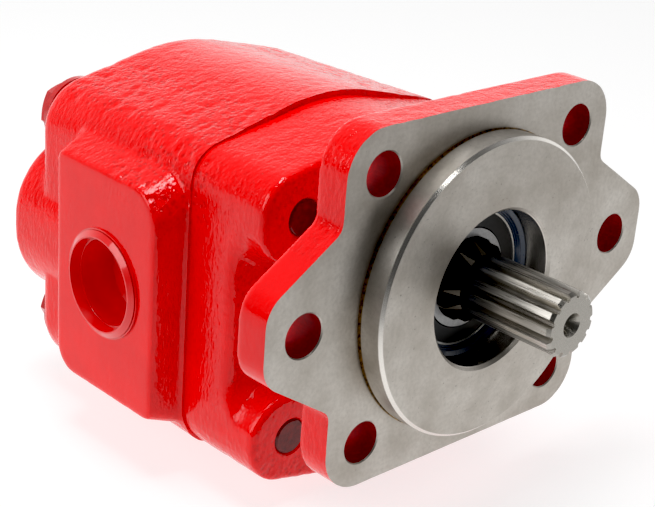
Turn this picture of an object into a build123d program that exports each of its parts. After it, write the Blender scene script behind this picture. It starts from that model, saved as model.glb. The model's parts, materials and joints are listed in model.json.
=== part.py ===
from build123d import *

import os
from math import acos, cos, pi, radians, sin, sqrt, tan

# A flange-mounted hydraulic gear pump, in millimetres.
#
# Frame: the origin is on the drive shaft's axis, in the plane of the flange's mounting face. The shaft
# points to -Y, +Z is up, and the visible side port faces -X. The driven gear runs below the drive gear.
#
# The pump has two iron castings. The front cover carries the flange, the shaft seal and the front
# bushings. The gear housing carries the gears, the rear bushings and the ports. Four cap screws from
# the rear pass through the housing and thread into the cover's corner bosses.

# ---------------------------------------------------------------- driving dimensions
# Flange: the standard 101.6 mm pilot with a 2-hole and a 4-hole pattern
PILOT_R = 50.8
PILOT_HEIGHT = 9.65
PILOT_CHAMFER = 1.1
UNDERCUT_WIDTH = 1.2
UNDERCUT_DEPTH = 0.6
UNDERCUT_REACH = 0.3
UNDERCUT_IN_FACE = 0.3
FLANGE_T = 12.7
FLANGE_HOLE_R = 7.15
HOLE_CHAMFER = 0.4
FOUR_BOLT_CIRCLE = 127.0
TWO_BOLT_SPACING = 146.0
FLANGE_HALF_WIDTH = 60.3
FLANGE_HALF_HEIGHT = 60.0
FLANGE_CORNER_R = 15.0
EAR_REACH = 88.3
EAR_END_HALF = 11.9
EAR_ROOT_Z = 30.1
EAR_CORNER_R = 11.0
EAR_NOTCH_R = 4.0

# Gears
TEETH = 12
MODULE = 3.5
PRESSURE_ANGLE = radians(25)
TOOTH_THINNING = 0.12
GEAR_CENTRES = TEETH * MODULE
GEAR_TIP_R = MODULE * (TEETH / 2 + 1)
GEAR_ROOT_R = MODULE * (TEETH / 2 - 1.25)
GEAR_WIDTH = 44.45
TIP_CLEARANCE = 0.10
RUNNING_CLEARANCE = 0.05

# Stations along Y, from the mounting face
BOSS_FACE_Y = 36.0
SCOOP_FLOOR_Y = 50.0
JOINT_Y = 72.0
REAR_FACE_Y = 160.0
REAR_BOSS_Y = 173.4
PLATE_T = 8.0
GEAR_FRONT_Y = JOINT_Y + PLATE_T + RUNNING_CLEARANCE
GEAR_REAR_Y = GEAR_FRONT_Y + GEAR_WIDTH
CHAMBER_REAR_Y = GEAR_REAR_Y + RUNNING_CLEARANCE + PLATE_T
PORT_Y = 102.0

# Castings
MID_Z = -GEAR_CENTRES / 2
BODY_HALF_WIDTH = 58.6
HOUSING_HALF_WIDTH = 59.2
REAR_HALF_WIDTH = 59.8
SHOULDER_HEIGHT = 52.8
REAR_SHOULDER_HEIGHT = 51.8
COVER_CREST = 64.7
HOUSING_CREST = 67.75
REAR_CREST = 65.2
CORNER_R = 13.0
LOWER_CORNER_R = 17.0
REAR_CORNER_R = 19.0
CREST_R = 80.0
REAR_EDGE_R = 6.5
NECK_R = 41.0
BOSS_R = 16.0
BOSS_X = 43.3
SCOOP_INNER_X = 34.0
SCOOP_OVERLAP = 5.0
SCOOP_REACH = 78.6
SCOOP_BLEND_R = 6.0
SCOOP_EDGE_R = 4.2
CAST_EDGE_R = 2.0
FLANGE_BACK_R = 1.5
NECK_BLEND_R = 5.0

# Port blocks and ports
BLOCK_FACE_X = 71.5
BLOCK_ROOT_X = 52.0
BLOCK_FRONT_Y = 74.5
BLOCK_REAR_Y = 130.0
BLOCK_HALF_HEIGHT = 41.0
BLOCK_SPREAD = 7.0
BLOCK_DROP = 0.8
BLOCK_TOP_FRONT_R = 12.0
BLOCK_TOP_REAR_R = 3.5
BLOCK_BOTTOM_FRONT_R = 4.5
BLOCK_BOTTOM_REAR_R = 10.0
BLOCK_EDGE_R = 1.5
REAR_BOSS_X = 33.3
REAR_BOSS_R = 29.3
REAR_BOSS_DROP = 5.0
REAR_BOSS_EDGE_R = 4.0
PORT_THREAD_R = 16.67
PORT_THREAD_DEPTH = 19.0
PASSAGE_R = 12.5

# Fasteners: half-inch cap screws, dowels
SCREW_X = 41.5
SCREW_Z = 39.4
SCREW_R = 6.35
SCREW_HOLE_R = 6.75
TAPPED_R = 6.4
TAPPED_CHAMFER = 0.7
SCREW_CHAMFER = 0.6
WASHER_R = 14.0
WASHER_T = 2.4
SPOTFACE_R = 14.4
HEAD_ACROSS_FLATS = 19.05
HEAD_HEIGHT = 8.0
HEAD_CHAMFER = 1.0
HEAD_TURNS = (0, 16, 41, 27)
DOWEL_R = 4.0
DOWEL_X = 46.0
DOWEL_HALF = 8.0
DOWEL_CHAMFER = 0.6

# Shaft, bushings and seal
SPLINE_TEETH = 13
SPLINE_MODULE = 25.4 / 16
SPLINE_TIP_R = 11.0
SPLINE_ROOT_R = 8.95
SPLINE_CHAMFER = 1.1
SPLINE_END_Y = -41.3
SPLINE_FULL_Y = -5.0
SPLINE_CUTTER_R = 38.0
SPLINE_RISE_ANGLE = 30
CENTRE_HOLE_R = 4.0
CENTRE_DRILL_R = 1.6
CENTRE_CONE_DEPTH = 4.0
CENTRE_DRILL_DEPTH = 8.0
SHANK_FRONT_Y = -0.8
JOURNAL_R = 14.2
JOURNAL_CHAMFER = 1.0
BUSHING_R = 17.5
BUSHING_LENGTH = 20.0
SHAFT_REAR_GAP = 1.0
SLEEVE_R = 16.9
SLEEVE_FRONT_Y = 2.4
SLEEVE_REAR_Y = 20.0
SLEEVE_ROOM_R = 18.6
SHAFT_PASSAGE_R = 15.6
SEAL_R = 26.6
SEAL_FRONT_Y = 0.0
SEAL_DISH_Y = 2.4
SEAL_REAR_Y = 11.5
SEAL_WALL = 1.4
SEAL_WINDOW_R = 23.2
SEAL_RIM_R = 22.6
SEAL_RIM_PROUD = 0.2
SEAL_EDGE = 0.4
SEAL_RIBS = 3
SEAL_RIB_HEIGHT = 0.3
SEAL_RIBBED_SHARE = 0.62
SEAL_INNER_WALL = 0.6
LIP_FLARE = 0.8
LIP_FRONT_T = 1.9
LIP_NECK_R = 19.0
GARTER_R = 19.6
GARTER_Y = 8.6
GARTER_WIRE_R = 0.9

# Static seals
PLATE_BORE_GAP = 0.3
PLATE_SEAL_OUTER_R = 23.2
PLATE_SEAL_INNER_R = 21.4
PLATE_SEAL_T = 1.2
BACKUP_T = 0.8
JOINT_SEAL_OUTER_R = 30.0
JOINT_SEAL_INNER_R = 27.4
JOINT_SEAL_T = 2.0

# Steel plug in each rear port, and the hollow plastic cap in the left port
PLUG_FLANGE_R = 20.5
PLUG_FLANGE_T = 2.5
PLUG_EDGE = 0.6
PLUG_DEPTH = 15.0
PLUG_LEAD = 1.0
PLUG_SOCKET_FLATS = 14.0
PLUG_SOCKET_DEPTH = 9.0
PLUG_RING_R = 1.3
CAP_LIP_R = 19.6
CAP_LIP_T = 2.4
CAP_FLANGE_T = 0.8
CAP_GROOVE_R = 18.4
CAP_GROOVE_TOP = 1.2
CAP_CONE_R = 19.0
CAP_CONE_TOP_R = 17.1
CAP_MOUTH_R = 16.6
CAP_MOUTH_TAPER = 0.9
CAP_STEP_R = 15.3
CAP_STEP_DEPTH = 3.8
CAP_FLOOR_R = 13.6
CAP_DEPTH = 15.0
CAP_WALL = 1.2
CAP_FIT_GAP = 0.1
CAP_CUP_LEAD = 2.0


# ---------------------------------------------------------------- helpers
def along_y(sketch, front, rear):
    """Extrude a sketch drawn in X and Z, from y = front to y = rear."""
    return extrude(Plane.XZ.offset(-rear) * sketch, rear - front, dir=(0, -1, 0))


def bar(radius, front, rear, x=0.0, z=0.0):
    """A round bar whose axis is parallel to Y."""
    return along_y(Pos(x, z) * Circle(radius), front, rear)


def ring(outer, inner, front, rear, x=0.0, z=0.0):
    """A plain ring whose axis is parallel to Y."""
    return along_y(Pos(x, z) * (Circle(outer) - Circle(inner)), front, rear)


def side_bar(radius, x_low, x_high, y, z):
    """A round bar whose axis is parallel to X."""
    middle = (x_low + x_high) / 2
    return Pos(middle, y, z) * Rot(0, 90, 0) * Cylinder(radius, x_high - x_low)


def turned(points):
    """A solid of revolution about Y from a closed outline of (radius, y) points."""
    return revolve(make_face(Polyline(*points, close=True)), Axis.Y, 360)


def chamfered_mouth(radius, chamfer, face_y, inward, x=0.0, z=0.0):
    """The cone that breaks the edge of a hole at y = face_y. inward is +1 or -1 along Y."""
    cone = turned(
        [
            (0, 0),
            (radius + chamfer, 0),
            (radius, inward * chamfer),
            (0, inward * chamfer),
        ]
    )
    return Pos(x, face_y, z) * cone


def figure_eight(radius):
    """Two circles about the gear axes, joined, drawn in X and Z."""
    return Circle(radius) + Pos(0, -GEAR_CENTRES) * Circle(radius)


def screw_places():
    return [(sx * SCREW_X, MID_Z + sz * SCREW_Z) for sx in (-1, 1) for sz in (-1, 1)]


def four_bolt_places():
    reach = FOUR_BOLT_CIRCLE / 2 * cos(pi / 4)
    return [(sx * reach, sz * reach) for sx in (-1, 1) for sz in (-1, 1)]


def two_bolt_places():
    return [(sx * TWO_BOLT_SPACING / 2, 0) for sx in (-1, 1)]


# ---------------------------------------------------------------- casting outlines
def flange_outline():
    body = RectangleRounded(2 * FLANGE_HALF_WIDTH, 2 * FLANGE_HALF_HEIGHT, FLANGE_CORNER_R)
    rise = (EAR_ROOT_Z - EAR_END_HALF) / (EAR_REACH - FLANGE_HALF_WIDTH)
    inner_x = FLANGE_HALF_WIDTH - FLANGE_CORNER_R
    inner_z = EAR_ROOT_Z + FLANGE_CORNER_R * rise
    ears = Polygon(
        (EAR_REACH, EAR_END_HALF),
        (inner_x, inner_z),
        (-inner_x, inner_z),
        (-EAR_REACH, EAR_END_HALF),
        (-EAR_REACH, -EAR_END_HALF),
        (-inner_x, -inner_z),
        (inner_x, -inner_z),
        (EAR_REACH, -EAR_END_HALF),
        align=None,
    )
    ear_corners = [v for v in ears.vertices() if abs(v.X) > FLANGE_HALF_WIDTH]
    outline = body + fillet(ear_corners, EAR_CORNER_R)
    notches = [
        v
        for v in outline.vertices()
        if abs(abs(v.X) - FLANGE_HALF_WIDTH) < 0.1 and abs(abs(v.Y) - EAR_ROOT_Z) < 0.1
    ]
    return fillet(notches, EAR_NOTCH_R)


def body_outline(half_width, shoulder, crest, upper_corner_r, lower_corner_r):
    """The six-sided body section with low crests above and below, drawn in X and Z."""
    outline = Polygon(
        (-half_width, MID_Z - shoulder),
        (0, MID_Z - crest),
        (half_width, MID_Z - shoulder),
        (half_width, MID_Z + shoulder),
        (0, MID_Z + crest),
        (-half_width, MID_Z + shoulder),
        align=None,
    )
    for side, corner_r in ((1, upper_corner_r), (-1, lower_corner_r)):
        corners = [v for v in outline.vertices() if abs(v.X) > 1 and side * (v.Y - MID_Z) > 0]
        outline = fillet(corners, corner_r)
    crests = [v for v in outline.vertices() if abs(v.X) < 1]
    return fillet(crests, CREST_R)


# ---------------------------------------------------------------- front cover
def side_scoop(side):
    """The recess in one side of the cover's front, between its upper and lower screw bosses."""
    width = SCOOP_REACH - SCOOP_INNER_X
    middle_x = SCOOP_INNER_X + width / 2
    region = Pos(middle_x, MID_Z) * Rectangle(width, 2 * SCREW_Z)
    for sz in (-1, 1):
        screw_z = MID_Z + sz * SCREW_Z
        inward = BOSS_X - SCOOP_INNER_X + SCOOP_OVERLAP
        region -= Pos(BOSS_X, screw_z) * Circle(BOSS_R)
        region -= Pos(BOSS_X - inward / 2, screw_z) * Rectangle(inward, 2 * BOSS_R)
    scoop = along_y(region, BOSS_FACE_Y - 1, SCOOP_FLOOR_Y)
    return scoop if side > 0 else mirror(scoop, Plane.YZ)


def cover_casting():
    outline = body_outline(BODY_HALF_WIDTH, SHOULDER_HEIGHT, COVER_CREST, CORNER_R, LOWER_CORNER_R)
    block = along_y(outline, BOSS_FACE_Y, JOINT_Y)
    for side in (-1, 1):
        block -= side_scoop(side)
    at_floor = [e for e in block.edges() if abs(e.center().Y - SCOOP_FLOOR_Y) < 0.01]
    block = fillet([e for e in at_floor if abs(e.center().X) < BODY_HALF_WIDTH - 1], SCOOP_BLEND_R)
    at_floor = [e for e in block.edges() if abs(e.center().Y - SCOOP_FLOOR_Y) < 0.01]
    block = fillet([e for e in at_floor if abs(e.center().X) > BODY_HALF_WIDTH - 0.01], SCOOP_EDGE_R)
    block = fillet(block.edges().group_by(Axis.Y)[0], CAST_EDGE_R)
    flange = along_y(flange_outline(), 0, FLANGE_T)
    neck = bar(NECK_R, FLANGE_T / 2, SCOOP_FLOOR_Y)
    casting = flange + neck + block
    at_back = [e for e in casting.edges() if abs(e.center().Y - FLANGE_T) < 0.01]
    round_neck = [e for e in at_back if abs(e.length - 2 * pi * NECK_R) < 0.01]
    casting = fillet(round_neck, NECK_BLEND_R)
    at_back = [e for e in casting.edges() if abs(e.center().Y - FLANGE_T) < 0.01]
    return fillet([e for e in at_back if e.length < 2 * pi * NECK_R], FLANGE_BACK_R)


def front_cover():
    cover = cover_casting()
    # The pilot stands in a turned groove that also bites a little into the mounting face
    cover -= bar(PILOT_R + UNDERCUT_REACH, -1, UNDERCUT_IN_FACE)
    cover += bar(PILOT_R - UNDERCUT_DEPTH, -UNDERCUT_WIDTH, 1)
    pilot = chamfer(
        bar(PILOT_R, -PILOT_HEIGHT, -UNDERCUT_WIDTH).edges().group_by(Axis.Y)[0],
        PILOT_CHAMFER,
    )
    cover += pilot
    for x, z in four_bolt_places() + two_bolt_places():
        cover -= bar(FLANGE_HOLE_R, -1, FLANGE_T + 1, x, z)
        cover -= chamfered_mouth(FLANGE_HOLE_R, HOLE_CHAMFER, 0, 1, x, z)
    # Shaft bore: seal seat, room for the shaft sleeve, then the bushing bores from the rear
    cover -= bar(SEAL_R, -PILOT_HEIGHT - 1, SEAL_REAR_Y)
    cover -= chamfered_mouth(SEAL_R, PILOT_CHAMFER, -PILOT_HEIGHT, 1)
    cover -= bar(SLEEVE_ROOM_R, 0, SLEEVE_REAR_Y + 2)
    cover -= bar(SHAFT_PASSAGE_R, 0, JOINT_Y + 1)
    cover -= bar(BUSHING_R, JOINT_Y - BUSHING_LENGTH, JOINT_Y + 1)
    cover -= bar(BUSHING_R, JOINT_Y - BUSHING_LENGTH, JOINT_Y + 1, 0, -GEAR_CENTRES)
    for x, z in screw_places():
        cover -= bar(TAPPED_R, BOSS_FACE_Y - 1, JOINT_Y + 1, x, z)
        cover -= chamfered_mouth(TAPPED_R, TAPPED_CHAMFER, BOSS_FACE_Y, 1, x, z)
    for side in (-1, 1):
        cover -= bar(DOWEL_R, JOINT_Y - DOWEL_HALF, JOINT_Y + 1, side * DOWEL_X, MID_Z)
    groove = figure_eight(JOINT_SEAL_OUTER_R) - figure_eight(JOINT_SEAL_INNER_R)
    cover -= along_y(groove, JOINT_Y - JOINT_SEAL_T, JOINT_Y + 1)
    return cover


# ---------------------------------------------------------------- gear housing
def block_panel(x, low_y, high_y, half_height):
    """A section of the port block in the plane X = x: a rectangle whose corners all differ."""
    low_z = MID_Z - BLOCK_DROP - half_height
    high_z = MID_Z - BLOCK_DROP + half_height
    panel = Polygon(
        (low_y, low_z),
        (high_y, low_z),
        (high_y, high_z),
        (low_y, high_z),
        align=None,
    )
    corner_radii = {
        (low_y, low_z): BLOCK_BOTTOM_FRONT_R,
        (high_y, low_z): BLOCK_BOTTOM_REAR_R,
        (high_y, high_z): BLOCK_TOP_REAR_R,
        (low_y, high_z): BLOCK_TOP_FRONT_R,
    }
    for (y, z), radius in corner_radii.items():
        corner = [v for v in panel.vertices() if abs(v.X - y) + abs(v.Y - z) < 0.01]
        panel = fillet(corner, radius)
    return Plane(origin=(x, 0, 0), x_dir=(0, 1, 0), z_dir=(1, 0, 0)) * panel


def port_block():
    """The raised block round the +X side port, flaring a little towards the housing."""
    face = block_panel(BLOCK_FACE_X, BLOCK_FRONT_Y, BLOCK_REAR_Y, BLOCK_HALF_HEIGHT)
    root = block_panel(
        BLOCK_ROOT_X,
        JOINT_Y,
        BLOCK_REAR_Y + BLOCK_SPREAD,
        BLOCK_HALF_HEIGHT + BLOCK_SPREAD,
    )
    block = loft([root.face(), face.face()], ruled=True)
    return fillet(block.edges().group_by(Axis.X)[-1], BLOCK_EDGE_R)


def housing_casting():
    front = body_outline(
        HOUSING_HALF_WIDTH, SHOULDER_HEIGHT, HOUSING_CREST, CORNER_R, LOWER_CORNER_R
    )
    rear = body_outline(
        REAR_HALF_WIDTH, REAR_SHOULDER_HEIGHT, REAR_CREST, REAR_CORNER_R, REAR_CORNER_R
    )
    body = loft(
        [
            (Plane.XZ.offset(-JOINT_Y) * front).face(),
            (Plane.XZ.offset(-REAR_FACE_Y) * rear).face(),
        ],
        ruled=True,
    )
    body = fillet(body.edges().group_by(Axis.Y)[-1], REAR_EDGE_R)
    block = port_block()
    slot = SlotCenterToCenter(REAR_BOSS_DROP, 2 * REAR_BOSS_R, rotation=90)
    boss = along_y(Pos(REAR_BOSS_X, MID_Z - REAR_BOSS_DROP / 2) * slot, PORT_Y, REAR_BOSS_Y)
    boss = fillet(boss.edges().group_by(Axis.Y)[-1], REAR_BOSS_EDGE_R)
    for piece in (block, boss):
        body += piece
        body += mirror(piece, Plane.YZ)
    for x, z in screw_places():
        body -= bar(SPOTFACE_R, REAR_FACE_Y, REAR_BOSS_Y + 1, x, z)
    return body


def gear_housing():
    housing = housing_casting()
    housing -= along_y(figure_eight(GEAR_TIP_R + TIP_CLEARANCE), JOINT_Y - 1, CHAMBER_REAR_Y)
    for z in (0, -GEAR_CENTRES):
        housing -= bar(BUSHING_R, JOINT_Y, CHAMBER_REAR_Y + BUSHING_LENGTH + SHAFT_REAR_GAP, 0, z)
    for x, z in screw_places():
        housing -= bar(SCREW_HOLE_R, JOINT_Y - 1, REAR_FACE_Y + 1, x, z)
    for side in (-1, 1):
        housing -= bar(DOWEL_R, JOINT_Y - 1, JOINT_Y + DOWEL_HALF, side * DOWEL_X, MID_Z)
        ends = sorted((side * (BLOCK_FACE_X + 1), side * (BLOCK_FACE_X - PORT_THREAD_DEPTH)))
        housing -= side_bar(PORT_THREAD_R, ends[0], ends[1], PORT_Y, MID_Z)
        ends = sorted((side * BLOCK_FACE_X, 0))
        housing -= side_bar(PASSAGE_R, ends[0], ends[1], PORT_Y, MID_Z)
        housing -= bar(
            PORT_THREAD_R,
            REAR_BOSS_Y - PORT_THREAD_DEPTH,
            REAR_BOSS_Y + 1,
            side * REAR_BOSS_X,
            MID_Z,
        )
        housing -= bar(PASSAGE_R, PORT_Y, REAR_BOSS_Y, side * REAR_BOSS_X, MID_Z)
    return housing


# ---------------------------------------------------------------- gears and shafts
def involute_point(base_r, radius, start_angle, side):
    """A point on a tooth flank, at a radius, on the flank that leaves the base circle at start_angle."""
    roll = sqrt((radius / base_r) ** 2 - 1)
    angle = start_angle - side * (roll - acos(base_r / radius))
    return (radius * cos(angle), radius * sin(angle))


def gear_outline(first_tooth_angle):
    """Involute spur gear section. first_tooth_angle is the middle of one tooth, in radians."""
    pitch_r = MODULE * TEETH / 2
    base_r = pitch_r * cos(PRESSURE_ANGLE)
    involute_at_pitch = tan(PRESSURE_ANGLE) - PRESSURE_ANGLE
    half_tooth = (pi * MODULE / 2 - TOOTH_THINNING) / (2 * pitch_r) + involute_at_pitch
    steps = 5
    radii = [base_r + (GEAR_TIP_R - base_r) * i / (steps - 1) for i in range(steps)]
    edges = []
    for tooth in range(TEETH):
        middle = first_tooth_angle + tooth * 2 * pi / TEETH
        sides = {}
        for side in (-1, 1):
            start = middle + side * half_tooth
            flank = [involute_point(base_r, r, start, side) for r in radii]
            root = (GEAR_ROOT_R * cos(start), GEAR_ROOT_R * sin(start))
            edges.append(Line(root, flank[0]))
            edges.append(Spline(*flank))
            sides[side] = (start, flank[-1])
        tip = (GEAR_TIP_R * cos(middle), GEAR_TIP_R * sin(middle))
        edges.append(ThreePointArc(sides[-1][1], tip, sides[1][1]))
        gap_start = sides[1][0]
        gap_end = sides[-1][0] + 2 * pi / TEETH
        gap_middle = (gap_start + gap_end) / 2
        edges.append(
            ThreePointArc(
                (GEAR_ROOT_R * cos(gap_start), GEAR_ROOT_R * sin(gap_start)),
                (GEAR_ROOT_R * cos(gap_middle), GEAR_ROOT_R * sin(gap_middle)),
                (GEAR_ROOT_R * cos(gap_end), GEAR_ROOT_R * sin(gap_end)),
            )
        )
    return make_face(edges)


def spline_gap():
    """One tooth gap of the shaft's spline, drawn across the shaft at angle zero."""
    pitch_r = SPLINE_MODULE * SPLINE_TEETH / 2
    half_pitch_gap = pi * SPLINE_MODULE / 4
    flank_slope = tan(radians(30))
    outer_r = JOURNAL_R + 1
    outer_half = half_pitch_gap + (outer_r - pitch_r) * flank_slope
    root_half = half_pitch_gap - (pitch_r - SPLINE_ROOT_R) * flank_slope
    return Polygon(
        (SPLINE_ROOT_R, -root_half),
        (outer_r, -outer_half),
        (outer_r, outer_half),
        (SPLINE_ROOT_R, root_half),
        align=None,
    )


def spline_cutter():
    """All the tooth gaps, each rising out of the shaft behind the full teeth on the cutter's arc."""
    gap = spline_gap()
    straight = along_y(gap, SPLINE_END_Y - 1, SPLINE_FULL_Y)
    arc_centre = SPLINE_ROOT_R + SPLINE_CUTTER_R
    rising = revolve(
        Plane.XZ.offset(-SPLINE_FULL_Y) * gap,
        Axis((arc_centre, SPLINE_FULL_Y, 0), (0, 0, -1)),
        SPLINE_RISE_ANGLE,
    )
    one = straight + rising
    turn = 360 / SPLINE_TEETH
    return [Rot(0, turn * i, 0) * one for i in range(SPLINE_TEETH)]


def drive_gear_shaft():
    rear = CHAMBER_REAR_Y + BUSHING_LENGTH
    shaft = turned(
        [
            (0, SPLINE_END_Y),
            (SPLINE_TIP_R - SPLINE_CHAMFER, SPLINE_END_Y),
            (SPLINE_TIP_R, SPLINE_END_Y + SPLINE_CHAMFER),
            (SPLINE_TIP_R, SPLINE_FULL_Y),
            (JOURNAL_R, SHANK_FRONT_Y),
            (JOURNAL_R, rear - JOURNAL_CHAMFER),
            (JOURNAL_R - JOURNAL_CHAMFER, rear),
            (0, rear),
        ]
    )
    for gap in spline_cutter():
        shaft -= gap
    shaft += along_y(gear_outline(-pi / 2), GEAR_FRONT_Y, GEAR_REAR_Y)
    shaft -= turned(
        [
            (0, SPLINE_END_Y - 1),
            (CENTRE_HOLE_R, SPLINE_END_Y - 1),
            (CENTRE_HOLE_R, SPLINE_END_Y),
            (CENTRE_DRILL_R, SPLINE_END_Y + CENTRE_CONE_DEPTH),
            (CENTRE_DRILL_R, SPLINE_END_Y + CENTRE_DRILL_DEPTH),
            (0, SPLINE_END_Y + CENTRE_DRILL_DEPTH),
        ]
    )
    return shaft


def driven_gear():
    front = JOINT_Y - BUSHING_LENGTH + 1
    rear = CHAMBER_REAR_Y + BUSHING_LENGTH
    shaft = turned(
        [
            (0, front),
            (JOURNAL_R - JOURNAL_CHAMFER, front),
            (JOURNAL_R, front + JOURNAL_CHAMFER),
            (JOURNAL_R, rear - JOURNAL_CHAMFER),
            (JOURNAL_R - JOURNAL_CHAMFER, rear),
            (0, rear),
        ]
    )
    shaft += along_y(gear_outline(pi / 2 + pi / TEETH), GEAR_FRONT_Y, GEAR_REAR_Y)
    return Pos(0, 0, -GEAR_CENTRES) * shaft


# ---------------------------------------------------------------- bushings, plates and their seals
def bushing(front, rear, z):
    return ring(BUSHING_R, JOURNAL_R + RUNNING_CLEARANCE, front, rear, 0, z)


def plate_seal_band():
    return figure_eight(PLATE_SEAL_OUTER_R) - figure_eight(PLATE_SEAL_INNER_R)


def thrust_plate(outer_y, inner_y):
    """A bronze plate that closes the gears' ends. Its seal groove is in the face at outer_y."""
    section = figure_eight(GEAR_TIP_R + RUNNING_CLEARANCE)
    section -= Circle(JOURNAL_R + PLATE_BORE_GAP)
    section -= Pos(0, -GEAR_CENTRES) * Circle(JOURNAL_R + PLATE_BORE_GAP)
    low, high = sorted((outer_y, inner_y))
    plate = along_y(section, low, high)
    inward = 1 if inner_y > outer_y else -1
    groove_end = outer_y + inward * (PLATE_SEAL_T + BACKUP_T)
    low, high = sorted((outer_y, groove_end))
    return plate - along_y(plate_seal_band(), low, high)


def plate_seal(outer_y, inward):
    low, high = sorted((outer_y, outer_y + inward * PLATE_SEAL_T))
    return along_y(plate_seal_band(), low, high)


def plate_backup(outer_y, inward):
    near = outer_y + inward * PLATE_SEAL_T
    low, high = sorted((near, near + inward * BACKUP_T))
    return along_y(plate_seal_band(), low, high)


def joint_seal():
    band = figure_eight(JOINT_SEAL_OUTER_R) - figure_eight(JOINT_SEAL_INNER_R)
    return along_y(band, JOINT_Y - JOINT_SEAL_T, JOINT_Y)


# ---------------------------------------------------------------- shaft seal
def seal_case():
    """The coated outer case: a cup with a dished, ribbed front and a window for the lip."""
    dish_depth = SEAL_DISH_Y - SEAL_FRONT_Y
    dish_width = SEAL_R - SEAL_EDGE - SEAL_WINDOW_R
    front = []
    for step in range(2 * SEAL_RIBS + 1):
        share = SEAL_RIBBED_SHARE * step / (2 * SEAL_RIBS)
        lift = SEAL_RIB_HEIGHT if step % 2 else 0
        front.append((SEAL_WINDOW_R + share * dish_width, SEAL_DISH_Y - share * dish_depth - lift))
    inner_y = SEAL_DISH_Y + SEAL_WALL
    return turned(
        front
        + [
            (SEAL_R - SEAL_EDGE, SEAL_FRONT_Y),
            (SEAL_R, SEAL_FRONT_Y + SEAL_EDGE),
            (SEAL_R, SEAL_REAR_Y),
            (SEAL_R - SEAL_WALL, SEAL_REAR_Y),
            (SEAL_R - SEAL_WALL, inner_y),
            (SEAL_WINDOW_R, inner_y),
        ]
    )


def seal_inner_case():
    """The bright steel cup inside the case, which shows as a thin rim round the lip."""
    outer_r = SEAL_R - SEAL_WALL
    front = SEAL_DISH_Y - SEAL_RIM_PROUD
    rear = SEAL_REAR_Y - SEAL_EDGE
    inner_y = SEAL_DISH_Y + SEAL_WALL
    return turned(
        [
            (SEAL_RIM_R, front),
            (SEAL_WINDOW_R, front),
            (SEAL_WINDOW_R, inner_y),
            (outer_r, inner_y),
            (outer_r, rear),
            (outer_r - SEAL_INNER_WALL, rear),
            (outer_r - SEAL_INNER_WALL, inner_y + SEAL_INNER_WALL),
            (SEAL_RIM_R, inner_y + SEAL_INNER_WALL),
        ]
    )


def seal_lip():
    """The rubber lip, bonded in the inner case, with the garter spring's groove round its neck."""
    front = SEAL_DISH_Y + SEAL_RIM_PROUD
    lip_r = SLEEVE_R + RUNNING_CLEARANCE
    web_y = front + LIP_FRONT_T
    heel = GARTER_Y + 2 * GARTER_WIRE_R
    lip = turned(
        [
            (lip_r + LIP_FLARE / 2, front),
            (SEAL_RIM_R, front),
            (SEAL_RIM_R, web_y),
            (LIP_NECK_R + LIP_FLARE, web_y + LIP_FLARE),
            (LIP_NECK_R, heel),
            (lip_r + LIP_FLARE, heel),
            (lip_r, GARTER_Y),
            (lip_r + LIP_FLARE, GARTER_Y - 2 * GARTER_WIRE_R),
        ]
    )
    return lip - garter_ring()


def garter_ring():
    section = Pos(GARTER_R, GARTER_Y) * Circle(GARTER_WIRE_R)
    return revolve(section, Axis.Y, 360)


def shaft_sleeve():
    return ring(SLEEVE_R, JOURNAL_R, SLEEVE_FRONT_Y, SLEEVE_REAR_Y)


# ---------------------------------------------------------------- fasteners, plugs and caps
def cap_screw(head_turn):
    """One cap screw along Y, with its threaded end at the origin and its head to the rear."""
    seat = REAR_FACE_Y + WASHER_T - BOSS_FACE_Y
    top = seat + HEAD_HEIGHT
    shank = chamfer(bar(SCREW_R, 0, seat + 1).edges().group_by(Axis.Y)[0], SCREW_CHAMFER)
    corner_r = HEAD_ACROSS_FLATS / 2 / cos(pi / 6)
    head = along_y(Rot(0, 0, head_turn) * RegularPolygon(corner_r, 6), seat, top)
    dome = turned(
        [
            (0, seat),
            (corner_r, seat),
            (corner_r, top - HEAD_CHAMFER),
            (HEAD_ACROSS_FLATS / 2, top),
            (0, top),
        ]
    )
    return shank + (head & dome)


def cap_screws():
    screws = []
    for (x, z), head_turn in zip(screw_places(), HEAD_TURNS):
        screws.append(Pos(x, BOSS_FACE_Y, z) * cap_screw(head_turn))
    return Compound(children=screws)


def cap_screw_washers():
    washers = [
        ring(WASHER_R, SCREW_HOLE_R, REAR_FACE_Y, REAR_FACE_Y + WASHER_T, x, z)
        for x, z in screw_places()
    ]
    return Compound(children=washers)


def dowel_pins():
    pin = bar(DOWEL_R, JOINT_Y - DOWEL_HALF, JOINT_Y + DOWEL_HALF)
    pin = chamfer(pin.edges().filter_by(GeomType.CIRCLE), DOWEL_CHAMFER)
    return Compound(children=[Pos(side * DOWEL_X, 0, MID_Z) * pin for side in (-1, 1)])


def port_plug():
    """A steel hex-socket plug along Y: its flange's seat is at the origin and its head to the rear."""
    neck_end = -2 * PLUG_RING_R
    neck_r = PORT_THREAD_R + neck_end
    plug = turned(
        [
            (0, -PLUG_DEPTH),
            (PORT_THREAD_R - PLUG_LEAD, -PLUG_DEPTH),
            (PORT_THREAD_R, -PLUG_DEPTH + PLUG_LEAD),
            (PORT_THREAD_R, neck_end),
            (neck_r, neck_end),
            (neck_r, 0),
            (PLUG_FLANGE_R, 0),
            (PLUG_FLANGE_R, PLUG_FLANGE_T - PLUG_EDGE),
            (PLUG_FLANGE_R - PLUG_EDGE, PLUG_FLANGE_T),
            (0, PLUG_FLANGE_T),
        ]
    )
    socket = RegularPolygon(PLUG_SOCKET_FLATS / 2 / cos(pi / 6), 6)
    return plug - along_y(socket, PLUG_FLANGE_T - PLUG_SOCKET_DEPTH, PLUG_FLANGE_T + 1)


def plug_ring():
    section = Pos(PORT_THREAD_R - PLUG_RING_R, -PLUG_RING_R) * Circle(PLUG_RING_R)
    return revolve(section, Axis.Y, 360)


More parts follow.
